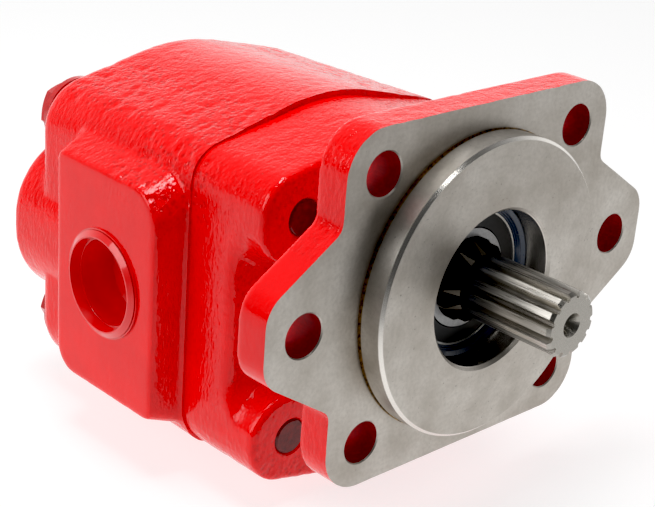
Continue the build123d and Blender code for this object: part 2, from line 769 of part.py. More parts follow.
def at_each_rear_port(piece):
    places = [Pos(side * REAR_BOSS_X, REAR_BOSS_Y, MID_Z) for side in (-1, 1)]
    return Compound(children=[place * piece for place in places])


def port_cap():
    """The hollow plastic cap in the -X side port: a grooved, cone-edged lip and a deep tapered cup."""
    cup_r = PORT_THREAD_R - CAP_FIT_GAP
    step_y = CAP_LIP_T - CAP_STEP_DEPTH
    floor_y = -CAP_DEPTH + CAP_WALL
    cap = turned(
        [
            (0, -CAP_DEPTH),
            (CAP_FLOOR_R + CAP_WALL, -CAP_DEPTH),
            (cup_r, -CAP_CUP_LEAD),
            (cup_r, 0),
            (CAP_LIP_R, 0),
            (CAP_LIP_R, CAP_FLANGE_T),
            (CAP_GROOVE_R, CAP_FLANGE_T),
            (CAP_GROOVE_R, CAP_GROOVE_TOP),
            (CAP_CONE_R, CAP_GROOVE_TOP),
            (CAP_CONE_TOP_R, CAP_LIP_T),
            (CAP_MOUTH_R, CAP_LIP_T),
            (CAP_MOUTH_R - CAP_MOUTH_TAPER, step_y),
            (CAP_STEP_R, step_y),
            (CAP_FLOOR_R, floor_y),
            (0, floor_y),
        ]
    )
    return Pos(-BLOCK_FACE_X, PORT_Y, MID_Z) * Rot(0, 0, 90) * cap


# ---------------------------------------------------------------- write every node
def nodes():
    front_bushing_y = JOINT_Y - BUSHING_LENGTH
    rear_bushing_y = CHAMBER_REAR_Y
    rear_bushing_end = CHAMBER_REAR_Y + BUSHING_LENGTH
    return {
        "front_cover": front_cover(),
        "gear_housing": gear_housing(),
        "drive_gear_shaft": drive_gear_shaft(),
        "driven_gear": driven_gear(),
        "shaft_sleeve": shaft_sleeve(),
        "front_drive_bushing": bushing(front_bushing_y, JOINT_Y, 0),
        "front_driven_bushing": bushing(front_bushing_y, JOINT_Y, -GEAR_CENTRES),
        "rear_drive_bushing": bushing(rear_bushing_y, rear_bushing_end, 0),
        "rear_driven_bushing": bushing(rear_bushing_y, rear_bushing_end, -GEAR_CENTRES),
        "front_thrust_plate": thrust_plate(JOINT_Y, JOINT_Y + PLATE_T),
        "rear_thrust_plate": thrust_plate(CHAMBER_REAR_Y, CHAMBER_REAR_Y - PLATE_T),
        "front_plate_seal": plate_seal(JOINT_Y, 1),
        "rear_plate_seal": plate_seal(CHAMBER_REAR_Y, -1),
        "front_plate_backup": plate_backup(JOINT_Y, 1),
        "rear_plate_backup": plate_backup(CHAMBER_REAR_Y, -1),
        "joint_seal": joint_seal(),
        "seal_case": seal_case(),
        "seal_inner_case": seal_inner_case(),
        "seal_lip": seal_lip(),
        "garter_spring": garter_ring(),
        "cap_screws": cap_screws(),
        "cap_screw_washers": cap_screw_washers(),
        "dowel_pins": dowel_pins(),
        "rear_port_plugs": at_each_rear_port(port_plug()),
        "rear_plug_rings": at_each_rear_port(plug_ring()),
        "left_port_cap": port_cap(),
    }


os.makedirs("parts", exist_ok=True)
for name, shape in nodes().items():
    export_step(shape, f"parts/{name}.step")
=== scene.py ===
"""The looks of a flange-mounted hydraulic gear pump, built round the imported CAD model.

The two iron castings are replaced by detailed ones: the CAD shape is filled in, remeshed, given a
sand-cast skin by moving its vertices, and then machined again with the CAD's own faces and bores.
Every other CAD node keeps its shape and gets a procedural material.
"""

import json
import math

import bmesh
import bpy
import numpy as np
from mathutils import Matrix, Vector


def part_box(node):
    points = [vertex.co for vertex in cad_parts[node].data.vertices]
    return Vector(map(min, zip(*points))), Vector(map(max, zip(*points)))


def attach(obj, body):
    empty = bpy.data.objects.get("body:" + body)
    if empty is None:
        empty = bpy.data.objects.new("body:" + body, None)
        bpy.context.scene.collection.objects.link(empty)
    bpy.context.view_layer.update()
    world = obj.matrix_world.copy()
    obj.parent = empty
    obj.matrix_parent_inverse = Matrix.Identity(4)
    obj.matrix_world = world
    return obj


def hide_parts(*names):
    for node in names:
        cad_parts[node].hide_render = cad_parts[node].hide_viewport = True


MM = 0.001

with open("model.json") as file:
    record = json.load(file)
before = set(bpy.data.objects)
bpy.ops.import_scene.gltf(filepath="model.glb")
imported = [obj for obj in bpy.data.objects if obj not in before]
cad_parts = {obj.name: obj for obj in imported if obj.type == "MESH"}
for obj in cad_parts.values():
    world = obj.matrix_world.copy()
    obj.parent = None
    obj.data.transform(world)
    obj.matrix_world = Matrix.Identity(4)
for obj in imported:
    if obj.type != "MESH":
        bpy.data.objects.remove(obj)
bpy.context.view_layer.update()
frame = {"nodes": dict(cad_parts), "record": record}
mounts = {m["name"]: m for m in frame["record"]["mounts"]}


# ---------------------------------------------------------------- sizes taken from the frame, in mm
def box_mm(node):
    """A node's lowest and highest corners."""
    low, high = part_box(node)
    return low / MM, high / MM


cover_low, cover_high = box_mm("front_cover")
housing_low, housing_high = box_mm("gear_housing")
washer_low, washer_high = box_mm("cap_screw_washers")
plug_high = box_mm("rear_port_plugs")[1]
shaft_low = box_mm("drive_gear_shaft")[0]

JOINT_Y = cover_high.y
REAR_FACE_Y = washer_low.y
PILOT_R = mounts["pilot"]["dims"]["r_mm"]
PORT_R = mounts["right_port"]["dims"]["r_mm"]
PORT_Y = mounts["right_port"]["pos_m"][1] / MM
MID_Z = mounts["right_port"]["pos_m"][2] / MM
HOLE_R = mounts["four_bolt_flange"]["dims"]["hole_r_mm"]
HALF_CIRCLE = mounts["four_bolt_flange"]["dims"]["pcd_mm"] / 2 * math.cos(math.pi / 4)
EAR_HOLE_X = mounts["two_bolt_flange"]["dims"]["spacing_x_mm"] / 2
DRIVEN_Z = 2 * MID_Z
BLOCK_FACE_X = housing_high.x

# Sizes of the castings that the frame doesn't state
FLANGE_BACK_Y = 12.7
BOSS_FACE_Y = 36.0
REAR_BOSS_Y = 173.4
SEAL_SEAT_R = 26.6
BUSHING_ROOM_R = 18.6
DRIVEN_BORE_Y = 50.0
CHAMBER_R = 25.2
SEAL_GROOVE_R = 31.0
SEAL_GROOVE_DEPTH = 2.0
PILOT_CHAMFER = 1.1
GROOVE_WIDTH = 1.2
SPLINE_INNER_Y = -5.0
FRONT_ENDS_Y = 60.0
DOWEL_X = 46.0
WASHER_R = 14.0
PLUG_FLANGE_R = 20.5
REAR_PORT_X = plug_high.x - PLUG_FLANGE_R
SCREW_X = washer_high.x - WASHER_R
SCREW_Z = washer_high.z - WASHER_R - MID_Z

SCREW_PLACES = [(sx * SCREW_X, MID_Z + sz * SCREW_Z) for sx in (-1, 1) for sz in (-1, 1)]
FLANGE_HOLES = [(sx * HALF_CIRCLE, sz * HALF_CIRCLE) for sx in (-1, 1) for sz in (-1, 1)]
FLANGE_HOLES += [(-EAR_HOLE_X, 0.0), (EAR_HOLE_X, 0.0)]

# Remeshing of the castings, and how far a cutter reaches past what it machines
VOXEL = 1.0
CUTTER_MARGIN = 1.5

# The cast skin: how far apart the bumps of each kind are, and how high they stand
SWELL_SPACING = 17.0
SWELL_HEIGHT = 0.05
LUMP_SPACING = 4.5
LUMP_HEIGHT = 0.035
PIT_SPACING = 2.2
PIT_DEPTH = 0.56
SPECK_SPACING = 1.9
SPECK_HEIGHT = 0.09
PATCH_SPACING = 13.0
SHARP_ANGLE = math.radians(35)


# ---------------------------------------------------------------- shader helpers
def add_node(tree, kind, inputs=None, **settings):
    """Add a shader node. Each input is a value or another node's output socket."""
    node = tree.nodes.new("ShaderNode" + kind)
    for key, value in settings.items():
        setattr(node, key, value)
    for key, value in (inputs or {}).items():
        if isinstance(value, bpy.types.NodeSocket):
            tree.links.new(value, node.inputs[key])
        else:
            node.inputs[key].default_value = value
    return node


def maths(tree, operation, first, second):
    return add_node(tree, "Math", {0: first, 1: second}, operation=operation).outputs[0]


def object_point(tree):
    return add_node(tree, "TexCoord").outputs["Object"]


def along_y(tree, point):
    """The point's Y in mm."""
    return maths(tree, "DIVIDE", add_node(tree, "SeparateXYZ", {0: point}).outputs["Y"], MM)


def stretched(tree, point, factors):
    """The point with each axis multiplied, which sets a texture's size along that axis."""
    return add_node(tree, "VectorMath", {0: point, 1: factors}, operation="MULTIPLY").outputs[0]


def turned_point(tree, point, angle):
    """The point turned about the Y axis."""
    node = add_node(tree, "VectorRotate", {"Vector": point, "Angle": angle}, rotation_type="Y_AXIS")
    return node.outputs[0]


def noise(tree, point, size_mm, detail=2.0, roughness=0.5, stretch=(1.0, 1.0, 1.0)):
    """Noise between 0 and 1 whose main lumps are about size_mm across."""
    scale = [s / (size_mm * MM) for s in stretch]
    place = stretched(tree, point, scale)
    inputs = {"Vector": place, "Scale": 1.0, "Detail": detail, "Roughness": roughness}
    return add_node(tree, "TexNoise", inputs).outputs["Fac"]


def dimples(tree, point, size_mm, stretch=(1.0, 1.0, 1.0)):
    """Separate round pits about size_mm apart: 0 at the middle of a pit and 1 between pits."""
    scale = [s / (size_mm * MM) for s in stretch]
    cells = add_node(tree, "TexVoronoi", {"Vector": stretched(tree, point, scale), "Scale": 1.0})
    spread = {"Value": cells.outputs["Distance"], "From Min": 0.0, "From Max": 0.6}
    return add_node(tree, "MapRange", spread, interpolation_type="SMOOTHSTEP").outputs[0]


def ramp(tree, value, low, high, out_low=0.0, out_high=1.0):
    """Map low..high to out_low..out_high, clamped."""
    spread = {"Value": value, "From Min": low, "From Max": high, "To Min": out_low, "To Max": out_high}
    return add_node(tree, "MapRange", spread).outputs[0]


def mixed(tree, factor, first, second):
    """A colour between first and second."""
    node = add_node(tree, "Mix", {"Factor": factor}, data_type="RGBA")
    for slot, value in ((6, first), (7, second)):
        if isinstance(value, bpy.types.NodeSocket):
            tree.links.new(value, node.inputs[slot])
        else:
            node.inputs[slot].default_value = (*value, 1.0)
    return node.outputs[2]


def bumped(tree, height, distance_mm, strength, base=None):
    """A normal for relief up to distance_mm high, on top of the base normal if one is given."""
    inputs = {"Height": height, "Distance": distance_mm * MM, "Strength": strength}
    if base is not None:
        inputs["Normal"] = base
    return add_node(tree, "Bump", inputs).outputs[0]


def axis_radius(tree, point):
    """Distance in mm from the drive shaft's axis."""
    flat = stretched(tree, point, (1 / MM, 0, 1 / MM))
    return add_node(tree, "VectorMath", {0: flat}, operation="LENGTH").outputs["Value"]


def new_material(name):
    """An empty node material: its tree and its Principled shader."""
    material = bpy.data.materials.new(name)
    material.use_nodes = True
    tree = material.node_tree
    tree.nodes.clear()
    output = add_node(tree, "OutputMaterial")
    shader = add_node(tree, "BsdfPrincipled")
    tree.links.new(shader.outputs[0], output.inputs["Surface"])
    return material, tree, shader


def connect(tree, shader, **values):
    """Set the Principled shader's inputs. Underscores in a name stand for spaces."""
    for key, value in values.items():
        socket = shader.inputs[key.replace("_", " ")]
        if isinstance(value, bpy.types.NodeSocket):
            tree.links.new(value, socket)
        elif socket.type == "RGBA":
            socket.default_value = (*value, 1.0)
        else:
            socket.default_value = value


# ---------------------------------------------------------------- materials
def enamel_on_iron():
    """Gloss red enamel over sand-cast iron. The attribute cast_depth says how rough the casting is; the
    pits are painted a darker red as painted shade, more so where the casting is rougher.
    """
    material, tree, shader = new_material("red_enamel_cast")
    point = object_point(tree)
    depth = add_node(tree, "Attribute", attribute_name="cast_depth").outputs["Fac"]
    broad = noise(tree, point, 16.0, 2.0)
    fine = noise(tree, point, 1.6, 2.0, 0.5, (1.0, 1.2, 0.6))
    grain = noise(tree, point, 0.7, 2.0, 0.5)
    pits = dimples(tree, point, 1.7, (0.8, 0.8, 0.8))
    colour = mixed(tree, ramp(tree, broad, 0.35, 0.65), (0.84, 0.0012, 0.0015), (0.92, 0.0020, 0.0022))
    # Painted shade: the pits are darkened to a deeper red, more so where cast_depth is high.
    pit_shade = maths(tree, "MULTIPLY", maths(tree, "SUBTRACT", 1.0, pits), depth)
    colour = mixed(tree, pit_shade, colour, (0.62, 0.0005, 0.0006))
    ripple = bumped(tree, fine, 0.50, ramp(tree, depth, 0.0, 0.25, 0.12, 0.55))
    pitted = bumped(tree, pits, 0.20, ramp(tree, depth, 0.2, 1.0, 0.0, 0.6), ripple)
    surface = bumped(tree, grain, 0.12, ramp(tree, depth, 0.0, 1.0, 0.35, 0.7), pitted)
    connect(
        tree,
        shader,
        Base_Color=colour,
        Roughness=0.5,
        Specular_IOR_Level=0.0,
        Coat_Weight=1.0,
        Coat_Roughness=0.05,
        Coat_IOR=1.42,
        Normal=surface,
        Coat_Normal=surface,
    )
    return material


def hole_shade_enamel():
    """Dull red paint on the walls of the flange holes, darkened as painted shade in the holes."""
    material, tree, shader = new_material("red_enamel_hole_shade")
    grain = noise(tree, object_point(tree), 1.2, 3.0, 0.6)
    # Painted shade: the base red is much darker than the enamel outside the holes.
    connect(
        tree,
        shader,
        Base_Color=mixed(tree, ramp(tree, grain, 0.35, 0.65), (0.30, 0.004, 0.010), (0.42, 0.004, 0.008)),
        Roughness=0.55,
        Specular_IOR_Level=0.2,
        Normal=bumped(tree, grain, 0.15, 0.4),
    )
    return material


def machined_iron():
    """Bare iron faced in a lathe: faint rings, pores, a pilot chamfer lightened as a painted highlight,
    and a stained groove.
    """
    material, tree, shader = new_material("machined_iron")
    point = object_point(tree)
    radius = axis_radius(tree, point)
    along = along_y(tree, point)
    rings_per_mm = 3.1
    across = maths(tree, "MULTIPLY", radius, rings_per_mm)
    onward = maths(tree, "MULTIPLY", along, rings_per_mm)
    ring_place = add_node(tree, "CombineXYZ", {0: across, 1: onward}).outputs[0]
    rings = add_node(tree, "TexNoise", {"Vector": ring_place, "Scale": 1.0, "Detail": 3.0}).outputs["Fac"]
    cloud = noise(tree, point, 22.0, 4.0, 0.6)
    mottle = noise(tree, point, 1.4, 3.0, 0.6)
    pores = ramp(tree, noise(tree, point, 0.9, 1.0), 0.20, 0.28, 1.0, 0.0)
    slanted = turned_point(tree, point, math.radians(40))
    marks = noise(tree, slanted, 0.45, 2.0, 0.6, (0.04, 1.0, 1.0))
    colour = mixed(tree, ramp(tree, cloud, 0.35, 0.70), (0.42, 0.385, 0.340), (0.66, 0.625, 0.575))
    colour = mixed(tree, ramp(tree, mottle, 0.40, 0.75, 0.0, 0.30), colour, (0.30, 0.27, 0.24))
    colour = mixed(tree, maths(tree, "MULTIPLY", pores, 0.5), colour, (0.12, 0.10, 0.09))
    # Painted highlight: the pilot's chamfer is lightened all round. Its lower roughness further down is
    # real polish.
    chamfer = maths(
        tree,
        "MULTIPLY",
        ramp(tree, radius, PILOT_R - PILOT_CHAMFER - 0.1, PILOT_R - PILOT_CHAMFER + 0.1),
        ramp(tree, along, cover_low.y + PILOT_CHAMFER, cover_low.y + PILOT_CHAMFER - 0.2),
    )
    colour = mixed(tree, chamfer, colour, (0.78, 0.75, 0.70))
    in_groove = maths(
        tree,
        "MULTIPLY",
        ramp(tree, along, -GROOVE_WIDTH - 0.1, -GROOVE_WIDTH + 0.1),
        ramp(tree, radius, PILOT_R + 0.4, PILOT_R + 0.2),
    )
    outside_bore = ramp(tree, radius, SEAL_SEAT_R + 4, SEAL_SEAT_R + 5)
    in_groove = maths(tree, "MULTIPLY", in_groove, outside_bore)
    stain = mixed(tree, ramp(tree, mottle, 0.45, 0.60), (0.42, 0.26, 0.09), (0.06, 0.04, 0.025))
    colour = mixed(tree, maths(tree, "MULTIPLY", in_groove, 0.9), colour, stain)
    in_bore = ramp(tree, radius, SEAL_SEAT_R + 0.3, SEAL_SEAT_R + 0.1)
    height = maths(tree, "ADD", maths(tree, "MULTIPLY", rings, 0.8), maths(tree, "MULTIPLY", mottle, 0.3))
    height = maths(tree, "ADD", height, maths(tree, "MULTIPLY", marks, 0.5))
    polish = maths(tree, "MAXIMUM", in_bore, chamfer)
    roughness = ramp(tree, polish, 0.0, 1.0, ramp(tree, cloud, 0.3, 0.7, 0.36, 0.46), 0.24)
    connect(
        tree,
        shader,
        Base_Color=colour,
        Metallic=1.0,
        Roughness=roughness,
        Normal=bumped(tree, height, 0.05, 0.5),
    )
    return material


def spline_steel():
    """Hardened shaft steel: bright ground tooth tops, darker flanks, and a shank painted near-black
    inside the bore as painted shade.
    """
    material, tree, shader = new_material("shaft_steel")
    point = object_point(tree)
    radius = axis_radius(tree, point)
    along = along_y(tree, point)
    streak = noise(tree, point, 0.5, 2.0, 0.5, (1.0, 0.03, 1.0))
    stain = noise(tree, point, 7.0, 2.0)
    flank = mixed(tree, ramp(tree, stain, 0.35, 0.7), (0.26, 0.245, 0.215), (0.38, 0.355, 0.315))
    bright = mixed(tree, ramp(tree, streak, 0.3, 0.7), (0.44, 0.42, 0.38), (0.70, 0.67, 0.62))
    colour = mixed(tree, ramp(tree, radius, 9.6, 10.9), flank, bright)
    on_end = ramp(tree, along, shaft_low.y + 1.3, shaft_low.y + 1.0)
    colour = mixed(tree, on_end, colour, (0.40, 0.38, 0.345))
    # Painted shade: from the pilot face inwards the shaft turns near-black, deeper inside the bore.
    inner_shade = ramp(tree, along, SPLINE_INNER_Y - 5.0, SPLINE_INNER_Y)
    colour = mixed(tree, inner_shade, colour, (0.10, 0.088, 0.072))
    connect(
        tree,
        shader,
        Base_Color=colour,
        Metallic=1.0,
        Roughness=ramp(tree, inner_shade, 0.0, 1.0, ramp(tree, streak, 0.3, 0.7, 0.24, 0.36), 0.34),
        Normal=bumped(tree, streak, 0.03, 0.4),
    )
    return material


def worked_metal(name, dark, bright, roughness, streak_stretch=(1.0, 1.0, 1.0)):
    """Plain machined or drawn metal with fine streaks and a little staining."""
    material, tree, shader = new_material(name)
    point = object_point(tree)
    streak = noise(tree, point, 0.7, 3.0, 0.6, streak_stretch)
    stain = noise(tree, point, 6.0, 3.0, 0.6)
    shade = maths(tree, "MULTIPLY", maths(tree, "ADD", streak, stain), 0.5)
    connect(
        tree,
        shader,
        Base_Color=mixed(tree, ramp(tree, shade, 0.35, 0.65), dark, bright),
        Metallic=1.0,
        Roughness=ramp(tree, stain, 0.3, 0.7, roughness, roughness + 0.12),
        Normal=bumped(tree, streak, 0.03, 0.4),
    )
    return material


def moulded(name, colour, worn, roughness, coat=0.0, relief_mm=0.04):
    """Rubber, plastic or a painted pressing: slight colour change, fine surface grain."""
    material, tree, shader = new_material(name)
    point = object_point(tree)
    grain = noise(tree, point, 1.5, 3.0, 0.6)
    broad = noise(tree, point, 8.0, 2.0)
    connect(
        tree,
        shader,
        Base_Color=mixed(tree, ramp(tree, broad, 0.35, 0.7), colour, worn),
        Roughness=ramp(tree, grain, 0.3, 0.7, roughness, roughness + 0.1),
        Specular_IOR_Level=0.3,
        Coat_Weight=coat,
        Coat_Roughness=0.08,
        Normal=bumped(tree, grain, relief_mm, 0.5),
    )
    return material


def painted_fasteners():
    """The cap screws: red paint on the heads, brown thin paint on the ends in the front bosses."""
    material, tree, shader = new_material("red_enamel_fastener")
    point = object_point(tree)
    grain = noise(tree, point, 1.6, 3.0, 0.6)
    at_front = ramp(tree, along_y(tree, point), FRONT_ENDS_Y, FRONT_ENDS_Y - 1)
    thin = mixed(tree, ramp(tree, grain, 0.35, 0.65), (0.085, 0.006, 0.006), (0.17, 0.012, 0.010))
    red = mixed(tree, ramp(tree, grain, 0.35, 0.65), (0.50, 0.0015, 0.002), (0.62, 0.003, 0.003))
    connect(
        tree,
        shader,
        Base_Color=mixed(tree, at_front, red, thin),
        Roughness=0.34,
        Specular_IOR_Level=0.2,
        Coat_Weight=ramp(tree, at_front, 0.0, 1.0, 1.0, 0.45),
        Coat_Roughness=0.12,
        Normal=bumped(tree, grain, 0.30, 0.45),
    )
    return material


enamel = enamel_on_iron()
enamel_in_holes = hole_shade_enamel()
iron = machined_iron()
fastener_paint = painted_fasteners()
sleeve_steel = worked_metal("sleeve_steel", (0.30, 0.30, 0.30), (0.46, 0.46, 0.46), 0.40)
bronze = worked_metal("bearing_bronze", (0.40, 0.25, 0.11), (0.62, 0.43, 0.22), 0.35)
bright_steel = worked_metal("spring_steel", (0.45, 0.45, 0.44), (0.68, 0.68, 0.67), 0.25)
rubber = moulded("seal_rubber", (0.012, 0.012, 0.013), (0.018, 0.018, 0.019), 0.34, relief_mm=0.01)
backup = moulded("backup_plastic", (0.78, 0.76, 0.70), (0.86, 0.85, 0.80), 0.45)
blue_coating = moulded(
    "seal_coating", (0.008, 0.030, 0.085), (0.010, 0.038, 0.100), 0.25, coat=0.8, relief_mm=0.01
)
cap_plastic = moulded(
    "cap_plastic", (0.78, 0.002, 0.003), (0.84, 0.003, 0.003), 0.30, coat=1.0, relief_mm=0.03
)

NODE_MATERIALS = {
    "drive_gear_shaft": spline_steel(),
    "driven_gear": worked_metal("gear_steel", (0.30, 0.29, 0.27), (0.50, 0.48, 0.45), 0.28),
    "shaft_sleeve": sleeve_steel,
    "front_drive_bushing": bronze,
    "front_driven_bushing": bronze,
    "rear_drive_bushing": bronze,
    "rear_driven_bushing": bronze,
    "front_thrust_plate": bronze,
    "rear_thrust_plate": bronze,
    "front_plate_seal": rubber,
    "rear_plate_seal": rubber,
    "joint_seal": rubber,
    "seal_lip": rubber,
    "rear_plug_rings": rubber,
    "front_plate_backup": backup,
    "rear_plate_backup": backup,
    "seal_case": blue_coating,
    "seal_inner_case": bright_steel,
    "garter_spring": bright_steel,
    "dowel_pins": bright_steel,
    "cap_screws": fastener_paint,
    "cap_screw_washers": fastener_paint,
    "rear_port_plugs": fastener_paint,
    "left_port_cap": cap_plastic,
}
for name, material in NODE_MATERIALS.items():
    slots = frame["nodes"][name].data.materials
    slots.clear()
    slots.append(material)


# ---------------------------------------------------------------- mesh helpers, in mm
def object_from(bm, name):
    """A linked object in metres from a bmesh in mm."""
    bmesh.ops.scale(bm, vec=(MM, MM, MM), verts=bm.verts)
    mesh = bpy.data.meshes.new(name)
    bm.to_mesh(mesh)
    bm.free()
    thing = bpy.data.objects.new(name, mesh)
    bpy.context.scene.collection.objects.link(thing)
    return thing


def solid_copy(node, name):
    """A closed mesh with the shape of a CAD node."""
    bm = bmesh.new()
    bm.from_mesh(frame["nodes"][node].data)
    bmesh.ops.remove_doubles(bm, verts=bm.verts, dist=2e-7)
    mesh = bpy.data.meshes.new(name)
    bm.to_mesh(mesh)
    bm.free()
    imported_normals = mesh.attributes.get("custom_normal")
    if imported_normals:
        mesh.attributes.remove(imported_normals)
    thing = bpy.data.objects.new(name, mesh)
    bpy.context.scene.collection.objects.link(thing)
    return thing


def bar(axis, radius, low, high, place):
    """A round bar along X or Y. place is (x, z) for a Y bar and (y, z) for an X bar."""
    bm = bmesh.new()
    turn = Matrix.Rotation(math.pi / 2, 4, "X" if axis == "Y" else "Y")
    bmesh.ops.create_cone(
        bm, cap_ends=True, segments=64, radius1=radius, radius2=radius, depth=high - low, matrix=turn
    )
    middle = (low + high) / 2
    if axis == "Y":
        centre = (place[0], middle, place[1])
    else:
        centre = (middle, place[0], place[1])
    bmesh.ops.translate(bm, vec=centre, verts=bm.verts)
    return object_from(bm, "bar")


def block(low, high):
    bm = bmesh.new()
    bmesh.ops.create_cube(bm, size=1.0)
    size = [b - a for a, b in zip(low, high)]
    bmesh.ops.scale(bm, vec=size, verts=bm.verts)
    bmesh.ops.translate(bm, vec=[(a + b) / 2 for a, b in zip(low, high)], verts=bm.verts)
    return object_from(bm, "block")


def end_outline(source, face_y):
    """The outer rim of a casting's flat end face at y = face_y, as (x, z) points in order."""
    bm = bmesh.new()
    bm.from_mesh(source.data)
    flat = {f for f in bm.faces if all(abs(v.co.y / MM - face_y) < 0.01 for v in f.verts)}
    neighbours = {}
    for edge in bm.edges:
        if sum(f in flat for f in edge.link_faces) == 1:
            first, second = edge.verts
            neighbours.setdefault(first, []).append(second)
            neighbours.setdefault(second, []).append(first)
    loops = []
    done = set()
    for start in neighbours:
        if start in done:
            continue
        loop = [start]
        previous, here = start, neighbours[start][0]
        while here is not start:
            loop.append(here)
            ahead = [v for v in neighbours[here] if v is not previous]
            previous, here = here, ahead[0]
        done.update(loop)
        loops.append([(v.co.x / MM, v.co.z / MM) for v in loop])
    bm.free()
    return max(loops, key=lambda loop: max(x for x, z in loop))


def face_prism(source, face_y, far_y):
    """The outline of a flat end face of a casting, drawn out from face_y to far_y."""
    bm = bmesh.new()
    near = [bm.verts.new((x, face_y, z)) for x, z in end_outline(source, face_y)]
    bm.faces.new(near)
    drawn = bmesh.ops.extrude_face_region(bm, geom=bm.faces[:])
    moved = [item for item in drawn["geom"] if isinstance(item, bmesh.types.BMVert)]
    bmesh.ops.translate(bm, vec=(0, far_y - face_y, 0), verts=moved)
    bmesh.ops.triangulate(bm, faces=bm.faces[:])
    bmesh.ops.recalc_face_normals(bm, faces=bm.faces)
    return object_from(bm, "prism")


def combine(base, other, operation):
    """Apply a boolean to base and drop the other object."""
    modifier = base.modifiers.new("boolean", "BOOLEAN")
    modifier.operation = operation
    modifier.solver = "MANIFOLD"
    modifier.object = other
    apply_modifiers(base)
    bpy.data.objects.remove(other)


def united(pieces):
    """All the pieces as one object."""
    whole = pieces[0]
    for piece in pieces[1:]:
        combine(whole, piece, "UNION")
    return whole


def apply_modifiers(thing):
    graph = bpy.context.evaluated_depsgraph_get()
    graph.update()
    mesh = bpy.data.meshes.new_from_object(thing.evaluated_get(graph))
    thing.modifiers.clear()
    thing.data = mesh


def remesh(thing, voxel_mm):
    """Cover the object's outside with even small faces, and round its edges a little."""
    modifier = thing.modifiers.new("remesh", "REMESH")
    modifier.mode = "VOXEL"
    modifier.voxel_size = voxel_mm * MM
    modifier.use_smooth_shade = True
    apply_modifiers(thing)
    modifier = thing.modifiers.new("smooth", "SMOOTH")
    modifier.factor = 0.5
    modifier.iterations = 2
    apply_modifiers(thing)


def coordinates(mesh):
    values = np.zeros(len(mesh.vertices) * 3)
    mesh.vertices.foreach_get("co", values)
    return values.reshape(-1, 3)


def vertex_normals(mesh):
    values = np.zeros(len(mesh.vertices) * 3)
    mesh.vertices.foreach_get("normal", values)
    return values.reshape(-1, 3)


# ---------------------------------------------------------------- the sand-cast skin
def lattice_noise(points, spacing_mm, seed):
    """Smooth noise from -1 to 1 at points in mm, from values on a lattice.

    Each lattice value comes from its cell's three indices and the seed, mixed with large primes.
    """
    place = points / spacing_mm
    cell = np.floor(place).astype(np.int64)
    part = place - cell
    part = part * part * (3 - 2 * part)
    total = np.zeros(len(points))
    for corner in range(8):
        step = np.array([corner & 1, corner >> 1 & 1, corner >> 2 & 1])
        at = cell + step
        bits = at[:, 0] * 73856093 ^ at[:, 1] * 19349663 ^ at[:, 2] * 83492791 ^ seed * 2654435
        bits = (bits * 1103515245 + 12345) & 0x7FFFFFFF
        bits = (bits ^ bits >> 13) * 1274126177 & 0x7FFFFFFF
        value = bits / 0x3FFFFFFF - 1.0
        weight = np.prod(np.where(step == 1, part, 1 - part), axis=1)
        total += value * weight
    return total


def smooth_step(values, low, high):
    """0 up to low, 1 from high on, and smooth between them."""
    share = np.clip((values - low) / (high - low), 0, 1)
    return share * share * (3 - 2 * share)


def band(values, low, high, blend):
    """1 between low and high, fading to 0 over the blend on each side."""
    return smooth_step(values, low - blend, low) * (1 - smooth_step(values, high, high + blend))


def cast_depth(points, normals):
    """How rough the casting is at each point, from 0 to 1.

    The sides are the smoothest. The tops are rougher, most of all the housing's shoulders and the
    top front corners of its port blocks. The port faces are nearly flat.
    """
    x, y, z = points.T
    upward = smooth_step(normals[:, 2], 0.55, 0.93)
    on_housing = smooth_step(y, JOINT_Y - 1, JOINT_Y + 1)
    patches = 0.5 + 0.5 * lattice_noise(points, PATCH_SPACING, 5)
    depth = 0.16 + 0.10 * patches
    shoulder = band(np.abs(x), 30, 58, 12) * smooth_step(z, 20, 34)
    depth += upward * on_housing * (0.20 + 0.62 * shoulder * (0.55 + 0.6 * patches))
    depth += upward * (1 - on_housing) * 0.14
    block_top = band(np.abs(x), 56, 75, 4) * band(y, 70, 96, 12) * smooth_step(z, 6, 16)
    depth += 0.75 * block_top
    lower_front = band(y, 20, 76, 6) * (1 - smooth_step(z, -72, -60))
    depth += 0.25 * lower_front
    facing_front = smooth_step(-normals[:, 1], 0.80, 0.97) * (1 - on_housing)
    depth += 0.40 * facing_front
    port_face = smooth_step(np.abs(x), BLOCK_FACE_X - 0.8, BLOCK_FACE_X - 0.2)
    return np.clip(depth, 0, 1) * (1 - 0.9 * port_face)


def give_cast_skin(thing):
    """Move each vertex along its normal: broad swells and lumps, and pits where the casting is rough."""
    mesh = thing.data
    points = coordinates(mesh) / MM
    normals = vertex_normals(mesh)
    depth = cast_depth(points, normals)
    leaning = points * (0.62, 1.0, 0.8) + points[:, [1, 0, 2]] * (0.15, 0.0, 0.0)
    relief = SWELL_HEIGHT * lattice_noise(points, SWELL_SPACING, 1)
    relief += LUMP_HEIGHT * (0.4 + depth) * lattice_noise(points, LUMP_SPACING, 3)
    relief -= PIT_DEPTH * depth * np.clip(lattice_noise(leaning, PIT_SPACING, 2) - 0.05, 0, 1)
    relief += SPECK_HEIGHT * depth * lattice_noise(points, SPECK_SPACING, 4)
    moved = (points + normals * relief[:, None]) * MM
    mesh.vertices.foreach_set("co", moved.astype(np.float32).ravel())
    mesh.update()


